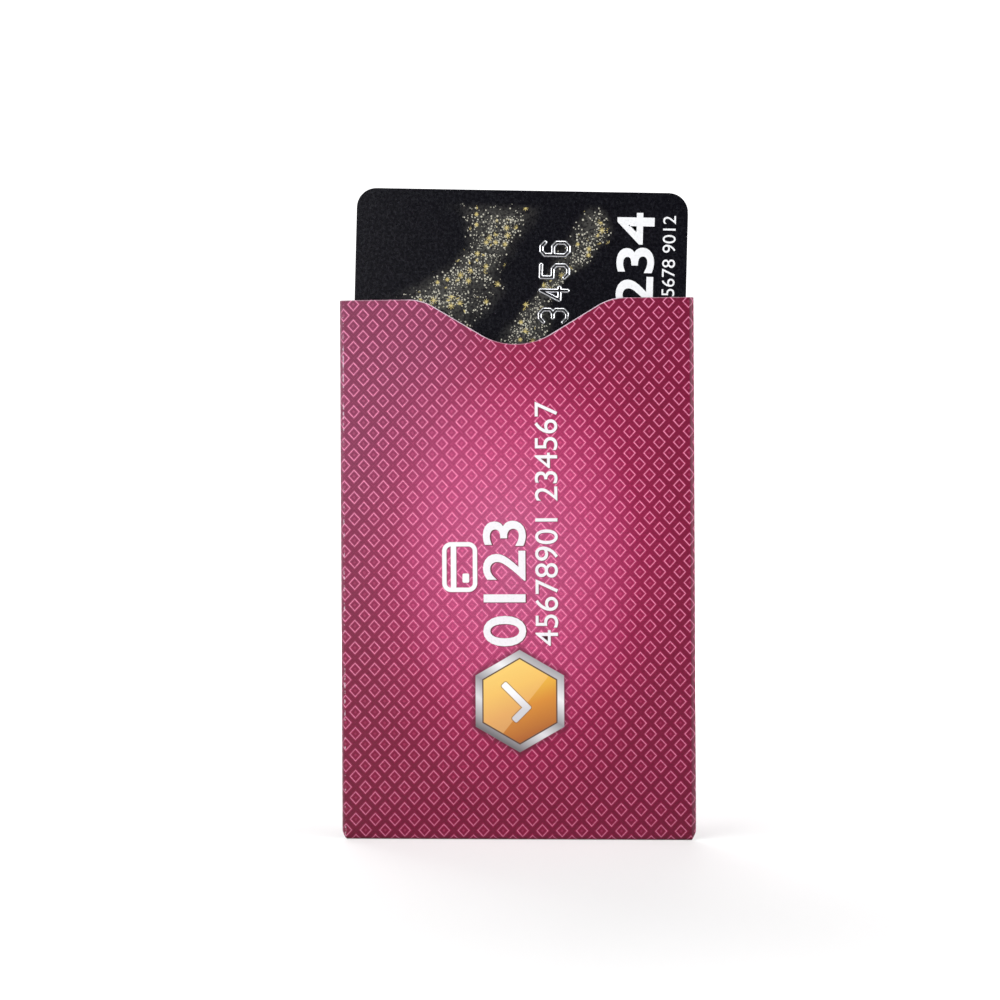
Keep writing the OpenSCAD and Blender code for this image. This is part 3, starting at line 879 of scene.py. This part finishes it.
@dataclass
class Sleeve:
    """The folded sleeve: its sizes, and the meshes of its four panels and their lining."""

    paper_t: float = 0.2
    sheet_t: float = 0.27
    sleeve_w: float = 57.72
    sleeve_h: float = 87.97
    side_r: float = 0.8
    flap_r: float = 0.96
    flap_y: float = 1.12
    flap_mid_y: float = 0.16
    left_x: float = -28.06
    right_x: float = 27.9
    bow: float = 0.5
    ramp_h: float = 7.0
    notch_d: float = 7.4
    notch_bottom_r: float = 11.0
    notch_shoulder_r: float = 8.0
    notch_slope: float = 31.0
    corner_cut: float = 0.7
    side_flap_w: float = 11.0
    bottom_flap_h: float = 13.0
    flap_taper: float = 15.0
    flap_mitre: float = 45.0
    flap_gap: float = 1.0
    flap_top: float = 1.2
    edge_play: float = 0.25
    finishes: dict[str, bpy.types.Material] = field(default_factory=dict)

    def notch_edge(self, x: np.ndarray) -> np.ndarray:
        """Height of the mouth's edge above each x: flat, round shoulders, straight flanks and a round bottom."""
        slope = math.radians(self.notch_slope)
        bottom_r, shoulder_r = self.notch_bottom_r, self.notch_shoulder_r
        radii = bottom_r + shoulder_r
        half = radii * math.sin(slope) + (self.notch_d - radii * (1 - math.cos(slope))) / math.tan(slope)
        low_x = bottom_r * math.sin(slope)
        high_x = half - shoulder_r * math.sin(slope)
        floor = self.sleeve_h - self.notch_d
        reach = np.abs(x)
        bottom = floor + bottom_r - np.sqrt(np.maximum(bottom_r**2 - reach**2, 0))
        flank = floor + bottom_r * (1 - math.cos(slope)) + (reach - low_x) * math.tan(slope)
        shoulder = self.sleeve_h - shoulder_r + np.sqrt(np.maximum(shoulder_r**2 - (half - reach) ** 2, 0))
        edge = np.where(reach < low_x, bottom, np.where(reach < high_x, flank, shoulder))
        return np.where(reach < half, edge, self.sleeve_h)

    def _front_points(self, u: np.ndarray, v: np.ndarray, inset: float) -> np.ndarray:
        """Points of the front panel at an inset, from places on the flat sheet."""
        middle = (self.left_x + self.right_x) / 2
        half = (self.right_x - self.left_x) / 2
        bow_r = (half**2 + self.bow**2) / (2 * self.bow)
        left = np.clip((self.left_x - u) / self.side_r, 0, None)
        right = np.clip((u - self.right_x) / self.flap_r, 0, None)
        inner_u = np.clip(u, self.left_x, self.right_x)
        x = inner_u - (self.side_r - inset) * np.sin(left) + (self.flap_r - inset) * np.sin(right)
        face = bow_r - self.bow - self.side_r + inset - np.sqrt(bow_r**2 - (inner_u - middle) ** 2)
        plan = face + (self.side_r - inset) * (1 - np.cos(left)) + (self.flap_r - inset) * (1 - np.cos(right))
        low = np.clip((self.flap_r - v) / self.flap_r, 0, None)
        z = np.maximum(v, self.flap_r) - (self.flap_r - inset) * np.sin(low)
        ramp = inset - self.side_r - np.maximum(v - self.flap_r, 0) * self.bow / self.ramp_h
        side = ramp + (self.flap_r - inset) * (1 - np.cos(low))
        y = (plan + side + np.sqrt((plan - side) ** 2 + 0.003)) / 2
        return np.stack([x, y - self._liveliness(u, v), z], -1)

    @staticmethod
    def _liveliness(u: np.ndarray, v: np.ndarray) -> np.ndarray:
        """How far soft dents and swells in the paper stand out, fading to nothing at its folds."""
        swell = np.sin(u * 0.17 + 0.6) * np.sin(v * 0.11 + 0.4) + 0.6 * np.sin(u * 0.31 - v * 0.23)
        fade = np.clip((28 - np.abs(u)) / 8, 0, 1) * np.clip((v - 6) / 10, 0, 1)
        return 0.035 * swell * fade

    def front(self, layer: Sheet) -> bpy.types.Mesh:
        """Mesh of the front panel with the notch, its halves of the folds and its bevelled corners."""
        left_end = self.left_x - self.side_r * math.pi / 2
        right_turn = math.acos(self.flap_mid_y / self.flap_r)
        right_end = self.right_x + self.flap_r * right_turn
        low_end = self.flap_r - self.flap_r * right_turn
        u = np.concatenate(
            [
                spaced(left_end, self.left_x, 0.1)[:-1],
                spaced(self.left_x, -18.0, 0.7)[:-1],
                spaced(-18.0, 18.0, 0.25)[:-1],
                spaced(18.0, self.right_x, 0.7)[:-1],
                spaced(self.right_x, right_end, 0.1),
            ]
        )
        x = self._front_points(u, np.full_like(u, 40.0), 0.0)[:, 0]
        cut_z = np.clip(2 * (np.abs(x) - self.sleeve_w / 2 + self.corner_cut), 0, None)
        cut_turn = np.arcsin(np.clip((self.flap_r - np.minimum(cut_z, self.flap_r)) / self.flap_r, 0, 1))
        low = np.maximum(np.where(cut_z < self.flap_r, self.flap_r - self.flap_r * cut_turn, cut_z), low_end)
        top = self.notch_edge(x)
        share = np.concatenate([spaced(0, 1, 0.1)[:-1], spaced(1, 10, 0.16), 10 + spaced(0, 1, 0.05)[1:]])
        fold = np.clip(share, 0, 1)
        body = np.clip((share - 1) / 10, 0, 1)
        knee = np.maximum(low, self.flap_r)
        v = low[:, None] + (knee - low)[:, None] * fold + (top - knee)[:, None] * body
        grid_u = np.broadcast_to(u[:, None], v.shape)
        slope = np.gradient(top, x)
        edge = (top[:, None] - v) / np.sqrt(1 + slope[:, None] ** 2)
        flat = np.stack([grid_u, v, edge], -1)
        outer = self._front_points(grid_u, v, layer.outer)
        inner = self._front_points(grid_u, v, layer.inner)
        return sheet_mesh("front", outer, inner, flat)

    def back(self, layer: Sheet) -> bpy.types.Mesh:
        """Mesh of the back panel with its half of the left fold."""
        right_end = self.right_x - self.edge_play
        turn = np.concatenate([spaced(math.pi / 2, math.pi, 0.13), np.full(60, math.pi)])
        run = np.concatenate([np.zeros(len(turn) - 60), spaced(0, right_end - self.left_x, 0.95)[:60]])
        run[-60:] = np.linspace(0.9, right_end - self.left_x, 60)
        z = spaced(self.flap_r + self.edge_play, self.sleeve_h, 0.9)
        turn, run, height = (np.broadcast_to(a, (len(turn), len(z))) for a in (turn[:, None], run[:, None], z[None]))
        u = self.left_x - self.side_r * turn - run
        edge = np.minimum(self.sleeve_h - height, (right_end - self.left_x) - run + 0.0)

        def points(inset: float) -> np.ndarray:
            """Points of the panel at an inset."""
            r = self.side_r - inset
            return np.stack([self.left_x - r * np.sin(turn) + run, -r * np.cos(turn), height], -1)

        flat = np.stack([u, height, edge], -1)
        return sheet_mesh("back", points(layer.outer), points(layer.inner), flat)

    def _flap_run(self, free_end: float) -> tuple[np.ndarray, np.ndarray]:
        """Turn round the fold and run past it, from the fold's middle to the flap's free end."""
        start = math.acos(self.flap_mid_y / self.flap_r)
        turn = spaced(start, math.pi, 0.12)
        run = spaced(0, free_end, 0.6)[1:]
        return np.concatenate([turn, np.full_like(run, math.pi)]), np.concatenate([np.zeros_like(turn), run])

    def side_flap(self, layer: Sheet) -> bpy.types.Mesh:
        """Mesh of the side flap with its half of the right fold."""
        turn, run = self._flap_run(self.side_flap_w - self.flap_r)
        mitre_x = self.sleeve_w / 2 - self.corner_cut + self.flap_gap / math.cos(math.radians(self.flap_mitre))
        low = self.flap_r + (mitre_x - self.right_x) + run / math.tan(math.radians(self.flap_mitre))
        top = self.sleeve_h - self.flap_top - run * math.tan(math.radians(self.flap_taper))
        share = spaced(0, 1, 0.01)
        z = low[:, None] + (top - low)[:, None] * share
        turn, run = (np.broadcast_to(a[:, None], z.shape) for a in (turn, run))
        free = self.side_flap_w - self.flap_r - run
        edge = np.minimum(np.minimum(z - low[:, None], top[:, None] - z), free)

        def points(inset: float) -> np.ndarray:
            """Points of the flap at an inset."""
            r = self.flap_r - inset
            return np.stack([self.right_x + r * np.sin(turn) - run, self.flap_mid_y - r * np.cos(turn), z], -1)

        flat = np.stack([self.right_x + self.flap_r * turn + run, z, edge], -1)
        return sheet_mesh("side_flap", points(layer.outer), points(layer.inner), flat)

    def bottom_flap(self, layer: Sheet) -> bpy.types.Mesh:
        """Mesh of the bottom flap with its half of the bottom fold."""
        turn, run = self._flap_run(self.bottom_flap_h - self.flap_r)
        half = self.sleeve_w / 2 - self.corner_cut
        left = -half + run * math.tan(math.radians(self.flap_taper))
        right = half - run * math.tan(math.radians(self.flap_mitre))
        share = spaced(0, 1, 0.0125)
        x = left[:, None] + (right - left)[:, None] * share
        turn, run = (np.broadcast_to(a[:, None], x.shape) for a in (turn, run))
        free = self.bottom_flap_h - self.flap_r - run
        edge = np.minimum(np.minimum(x - left[:, None], right[:, None] - x), free)

        def points(inset: float) -> np.ndarray:
            """Points of the flap at an inset."""
            r = self.flap_r - inset
            return np.stack([x, self.flap_mid_y - r * np.cos(turn), self.flap_r - r * np.sin(turn) + run], -1)

        flat = np.stack([x, self.flap_r - self.flap_r * turn - run, edge], -1)
        return sheet_mesh("bottom_flap", points(layer.outer), points(layer.inner), flat)

    def build(self) -> None:
        """Builds every layer of every panel, and dresses the glue."""
        paper = Sheet(0.0, self.paper_t, "paper", "sleeve_paper")
        foil = Sheet(self.paper_t, self.sheet_t, "foil", "foil")
        printed = [PrintedPaper().make(), PaperCore().make(), PaperCore("cut_paper").make()]
        lined = [FoilLining().make()] * 3
        panels = {
            "front_panel": (self.front, paper),
            "back_panel": (self.back, paper),
            "side_flap": (self.side_flap, paper),
            "bottom_flap": (self.bottom_flap, paper),
            "front_foil": (self.front, foil),
            "back_foil": (self.back, foil),
            "side_flap_foil": (self.side_flap, foil),
            "bottom_flap_foil": (self.bottom_flap, foil),
        }
        for node, (maker, layer) in panels.items():
            finish = printed if layer is paper else lined
            piece = add_object(f"{node}_sheet", maker(layer), finish)
            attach(piece, Body.SLEEVE.value)
            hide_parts(node)
            LOG.info("sheet %s: %d faces", piece.name, len(piece.data.polygons))
        dress(["side_glue", "bottom_glue"], DriedGlue().make())
        self._print_numerals()

    def _print_numerals(self) -> None:
        """Prints the two lines of numerals and their dark edges on the front panel."""
        white = PrintInk("white_ink", (0.86, 0.84, 0.87)).make()
        dark = PrintInk("shadow_ink", (0.13, 0.012, 0.035)).make()
        lines = {
            "large_numerals": (Numerals("0123", -5.5, 31.5, 7.0, 20.4, 0.012, 0.016), white),
            "small_numerals": (Numerals("45678901 234567", 3.0, 31.6, 3.7, 39.6, 0.0, 0.016), white),
            "large_numerals_edge": (Numerals("0123", -5.4, 31.38, 7.1, 20.55, 0.02, 0.008), dark),
            "small_numerals_edge": (Numerals("45678901 234567", 3.08, 31.5, 3.72, 39.7, 0.006, 0.008), dark),
        }
        for name, (numerals, ink) in lines.items():
            piece, flat = numerals.build(name, Body.SLEEVE, "sleeve_paper", ink)
            move_points(piece, self._front_points(flat[:, 0], flat[:, 2], flat[:, 1]))


def dress(nodes: Sequence[str], material: bpy.types.Material) -> None:
    """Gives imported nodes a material."""
    for name in nodes:
        for slot in frame["nodes"][name].material_slots:
            slot.material = material
        LOG.info("dressed %s with %s", name, material.name)


# The card


Point = tuple[float, float]


@dataclass
class Card:
    """The card: its raised numbers are meshes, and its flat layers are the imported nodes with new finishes."""

    frame: CardFrame = field(default_factory=CardFrame)
    emboss_h: float = 0.45
    stroke_w: float = 0.7
    foot: float = 0.09
    profile: tuple[tuple[float, ...], tuple[float, ...]] = (
        (0.0, 0.10, 0.13, 0.25, 0.29, 0.34, 0.44),
        (0.0, 0.55, 0.64, 0.90, 0.96, 0.99, 1.0),
    )
    numeral_w: float = 2.0
    numeral_h: float = 4.4
    numeral_pitch: float = 3.63
    number_edge: float = 21.4
    number_end: float = 9.4
    cell: float = 0.06
    cut_x: float = 0.3
    cut_z: float = 0.13
    number: tuple[int, ...] = (1, 2, 3, 4, 5, 6, 7, 8, 9, 0, 1, 2, 3, 4, 5, 6)

    def _strokes(self, numeral: int) -> list[list[Point]]:
        """Strokes of a numeral in a cell one wide and one high."""
        a, b = self.cut_x, self.cut_z
        c, d = 1 - a, 1 - b
        return [
            [[(a, 0), (c, 0), (1, b), (1, d), (c, 1), (a, 1), (0, d), (0, b), (a, 0)]],
            [[(0.1, 0.8), (0.55, 1), (0.55, 0)]],
            [[(0, d), (a, 1), (c, 1), (1, d), (1, 0.62), (0, 0.12), (0, 0), (1, 0)]],
            [
                [(0, d), (a, 1), (c, 1), (1, d), (1, 0.62), (c, 0.52), (1, 0.42), (1, b), (c, 0), (a, 0), (0, b)],
                [(0.35, 0.52), (c, 0.52)],
            ],
            [[(0.75, 0), (0.75, 1), (0, 0.3), (1, 0.3)]],
            [[(1, 1), (0, 1), (0, 0.57), (c, 0.57), (1, 0.57 - b), (1, b), (c, 0), (a, 0), (0, b)]],
            [[(1, d), (c, 1), (a, 1), (0, d), (0, b), (a, 0), (c, 0), (1, b), (1, 0.57 - b), (c, 0.57), (0, 0.57)]],
            [[(0, 1), (1, 1), (0.4, 0)]],
            [
                [(a, 0.53), (0, 0.65), (0, d), (a, 1), (c, 1), (1, d), (1, 0.65), (c, 0.53), (a, 0.53)],
                [(a, 0.53), (0, 0.41), (0, b), (a, 0), (c, 0), (1, b), (1, 0.41), (c, 0.53)],
            ],
            [[(0, b), (a, 0), (c, 0), (1, b), (1, d), (c, 1), (a, 1), (0, d), (0, 0.43 + b), (a, 0.43), (1, 0.43)]],
        ][numeral]

    def _nearest(self, points: np.ndarray, strokes: list[list[Point]]) -> tuple[np.ndarray, np.ndarray]:
        """Nearest place on the strokes to each point.

        Args:
            points: Places in the numeral's cell, in millimetres.
            strokes: The numeral's strokes.

        Returns:
            The nearest places, and the distances to them.
        """
        best = np.full(len(points), np.inf)
        place = np.zeros_like(points)
        for stroke in strokes:
            ends = np.array([((0.5 - z) * self.numeral_h, (x - 0.5) * self.numeral_w) for x, z in stroke])
            for start, end in zip(ends[:-1], ends[1:]):
                run = end - start
                share = np.clip((points - start) @ run / (run @ run), 0, 1)
                near = start + share[:, None] * run
                gap = np.linalg.norm(points - near, axis=1)
                closer = gap < best
                best[closer] = gap[closer]
                place[closer] = near[closer]
        return place, best

    def _numeral(self, numeral: int) -> tuple[np.ndarray, np.ndarray, np.ndarray]:
        """Grid points, heights and faces of one raised numeral."""
        half_w = self.stroke_w / 2 + self.foot
        across = spaced(-self.numeral_h / 2 - half_w - self.cell, self.numeral_h / 2 + half_w + self.cell, self.cell)
        along = spaced(-self.numeral_w / 2 - half_w - self.cell, self.numeral_w / 2 + half_w + self.cell, self.cell)
        grid = np.stack(np.meshgrid(across, along, indexing="ij"), -1).reshape(-1, 2)
        near, gap = self._nearest(grid, self._strokes(numeral))
        out = gap > half_w
        grid[out] = near[out] + (grid[out] - near[out]) * (half_w / gap[out])[:, None]
        step = half_w - np.minimum(gap, half_w)
        height = self.emboss_h * np.interp(step, *self.profile)
        index = np.arange(len(grid)).reshape(len(across), len(along))
        quads = np.stack([index[:-1, :-1], index[1:, :-1], index[1:, 1:], index[:-1, 1:]], -1).reshape(-1, 4)
        return grid, height, quads[~out[quads].all(axis=1)]

    def raised_numbers(self) -> bpy.types.Mesh:
        """One mesh of all the numerals, rounded at their shoulders and rooted in the card's face."""
        face_y = -self.frame.card_t / 2
        last = len(self.number) - 1 + (len(self.number) - 1) // 4
        points, faces, count = [], [], 0
        for place, numeral in enumerate(self.number):
            grid, height, quads = self._numeral(numeral)
            back = last - place - place // 4
            middle_x = self.frame.card_w / 2 - self.number_edge
            middle_z = self.frame.card_l / 2 - self.number_end - back * self.numeral_pitch
            x, z = grid[:, 0] + middle_x, grid[:, 1] + middle_z
            used, packed = np.unique(quads, return_inverse=True)
            packed = packed.reshape(quads.shape)
            top = np.stack([x, face_y - height, z], -1)[used]
            foot = np.stack([x, np.full_like(x, face_y + 0.01), z], -1)[used]
            edges = np.sort(np.stack([packed, np.roll(packed, -1, axis=1)], -1).reshape(-1, 2), axis=1)
            directed = np.stack([packed, np.roll(packed, -1, axis=1)], -1).reshape(-1, 2)
            _, inverse, times = np.unique(edges, axis=0, return_inverse=True, return_counts=True)
            rim = directed[times[inverse.reshape(-1)] == 1]
            size = len(used)
            walls = np.stack([rim[:, 1], rim[:, 0], rim[:, 0] + size, rim[:, 1] + size], -1)
            points.append(np.concatenate([top, foot]))
            faces.append(np.concatenate([packed, walls]) + count)
            count += 2 * size
        mesh = bpy.data.meshes.new("raised_numbers")
        mesh.from_pydata((np.concatenate(points) * MM).tolist(), [], np.concatenate(faces).tolist())
        mesh.transform(self.frame.matrix)
        mesh.update()
        return mesh

    def _print_numerals(self) -> None:
        """Prints a large and a small line of numerals beside the card's right edge."""
        ink = PrintInk("card_ink", (0.84, 0.85, 0.87), 0.3).make()
        lines = {
            "card_large_numerals": Numerals("1234", 15.6, 20.9, 6.1, 18.6, 0.02, 0.012),
            "card_small_numerals": Numerals("5678 9012", 23.0, 26.1, 2.1, 13.0, 0.0, 0.012),
        }
        for name, numerals in lines.items():
            piece, flat = numerals.build(name, Body.CARD, "card_plastic", ink)
            placed = flat - np.array([0.0, self.frame.card_t / 2, 0.0])
            move_points(piece, placed)
            piece.data.transform(self.frame.matrix)

    def build(self) -> None:
        """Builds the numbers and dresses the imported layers."""
        numbers = add_object("number_tips", self.raised_numbers(), [NumeralGlintSilver(self.frame, self.emboss_h).make()])
        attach(numbers, Body.CARD.value)
        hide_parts("raised_numbers")
        LOG.info("numbers: %d faces", len(numbers.data.polygons))
        self._print_numerals()
        dress(["card_front_sheet"], CardFront(self.frame).make())
        dress(["card_back_sheet"], CardBack(self.frame).make())
        dress(["signature_panel"], SignaturePaper(self.frame).make())
        plain = {
            "card_inlay": PlainFinish("inlay_core", (0.74, 0.74, 0.72), (0.6, 0.6, 0.58), 0.5),
            "antenna": PlainFinish("copper_track", (0.72, 0.36, 0.20), (0.45, 0.22, 0.13), 0.35, 1.0),
            "chip_contacts": PlainFinish("gold_contacts", (0.86, 0.66, 0.28), (0.70, 0.52, 0.22), 0.25, 1.0, 5.0),
            "chip_module": PlainFinish("chip_resin", (0.03, 0.03, 0.028), (0.07, 0.07, 0.065), 0.5),
            "magnetic_stripe": PlainFinish(
                "magnetic_stripe", (0.022, 0.016, 0.014), (0.06, 0.045, 0.04), 0.35, 0.0, 1.5, 0.006, (8.0, 1.0, 0.2)
            ),
        }
        for node, finish in plain.items():
            dress([node], finish.make())


# The studio


@dataclass
class Studio:
    """Pale floor and backdrop, soft lamps and the camera at the photograph's angle."""

    focal_px: float = 2800.0
    camera_at: tuple[float, float, float] = (30.478, -454.818, 56.780)
    right: tuple[float, float, float] = (0.99732925, 0.07287303, -0.00488688)
    forward: tuple[float, float, float] = (-0.07288966, 0.9973345, -0.00331612)
    floor_half: float = 1500.0
    floor_colour: Colour = (0.60, 0.60, 0.60)
    near_glow: float = 0.27
    ambient: float = 0.12
    flag_y: float = -900.0
    sweep_y: float = 700.0
    sweep_r: float = 300.0

    def camera(self) -> None:
        """Makes the camera and gives it to the scene."""
        data = bpy.data.cameras.new("camera")
        data.sensor_width = 36.0
        data.lens = 36.0 * self.focal_px / 1000.0
        data.clip_start = 0.01
        camera = bpy.data.objects.new("camera", data)
        right, forward = Vector(self.right).normalized(), Vector(self.forward).normalized()
        up = right.cross(forward)
        camera.matrix_world = Matrix.Translation(Vector(self.camera_at) * MM) @ Matrix((right, up, -forward)).transposed().to_4x4()
        bpy.context.scene.collection.objects.link(camera)
        bpy.context.scene.camera = camera

    def floor(self) -> None:
        """Makes the floor, which sweeps up into the backdrop."""
        bend = [
            (self.sweep_y + self.sweep_r * math.sin(turn), self.sweep_r * (1 - math.cos(turn)))
            for turn in np.linspace(0, math.pi / 2, 17)
        ]
        line = [(-self.floor_half, 0.0), *bend, (self.sweep_y + self.sweep_r, self.floor_half)]
        points = [(x * MM, y * MM, z * MM) for y, z in line for x in (-self.floor_half, self.floor_half)]
        faces = [(2 * i, 2 * i + 1, 2 * i + 3, 2 * i + 2) for i in range(len(line) - 1)]
        mesh = bpy.data.meshes.new("floor")
        mesh.from_pydata(points, [], faces)
        bench = Bench("pale_floor")
        x, y, _ = bench.parts(bench.place())
        far = (x * x + y * y).root().rise(0.08, 0.40)
        glow = bench.background_rays() * (far * (1.0 - self.near_glow) + self.near_glow)
        pale = bench.finish(
            Base_Color=self.floor_colour,
            Roughness=0.9,
            Specular_IOR_Level=0.2,
            Emission_Color=glow,
            Emission_Strength=1.0,
        )
        add_object("floor", mesh, [pale])

    def flag(self) -> None:
        """Makes a dark card round the camera, which glossy paper and plastic reflect and the camera doesn't see."""
        points = [(x * MM, self.flag_y * MM, z * MM) for x, z in ((-900, 0), (900, 0), (900, 900), (-900, 900))]
        mesh = bpy.data.meshes.new("flag")
        mesh.from_pydata(points, [], [(0, 1, 2, 3)])
        bench = Bench("dark_card")
        flag = add_object("flag", mesh, [bench.finish(Base_Color=(0.12, 0.12, 0.12), Roughness=0.9)])
        flag.visible_camera = False

    def lamp(self, name: str, at: Vector, aim: Vector, size: tuple[float, float], power: float) -> None:
        """Makes one soft lamp.

        Args:
            name: Its name.
            at: Where it is, in millimetres.
            aim: What it faces.
            size: Its two sides.
            power: Its power in watts.
        """
        data = bpy.data.lights.new(name, "AREA")
        data.shape = "RECTANGLE"
        data.size, data.size_y = size[0] * MM, size[1] * MM
        data.energy = power
        lamp = bpy.data.objects.new(name, data)
        turn = (aim - at).to_track_quat("-Z", "Y").to_matrix().to_4x4()
        lamp.matrix_world = Matrix.Translation(at * MM) @ turn
        bpy.context.scene.collection.objects.link(lamp)

    def light(self) -> None:
        """Makes the lamps and the world."""
        middle = Vector((0, 0, 50))
        self.lamp("key", Vector((-270, -555, 210)), middle, (260, 460), 1.95)
        self.lamp("fill", Vector((620, -420, 300)), middle, (400, 600), 1.0)
        self.lamp("left strip", Vector((-470, -100, 130)), middle, (150, 420), 1.5)
        self.lamp("right strip", Vector((470, -100, 130)), middle, (150, 420), 1.5)
        self.lamp("top strip", Vector((0, -120, 560)), middle, (420, 150), 1.3)
        self.lamp("back", Vector((-150, 560, 330)), middle, (500, 400), 3.6)
        bench = Bench("studio", world=True)
        strength = bench.background_rays() * (1.0 - self.ambient) + self.ambient
        bpy.context.scene.world = bench.finish(Color=(1.0, 1.0, 1.0), Strength=strength)

    def build(self) -> None:
        """Sets up the whole studio."""
        bpy.context.scene.view_settings.view_transform = "Standard"
        self.camera()
        self.floor()
        self.flag()
        self.light()


def main() -> None:
    """Builds the studio, the sleeve and the card in order."""
    logging.basicConfig(level=logging.INFO, format="%(message)s")
    Studio().build()
    Sleeve().build()
    Card().build()


if __name__ == "__main__":
    main()
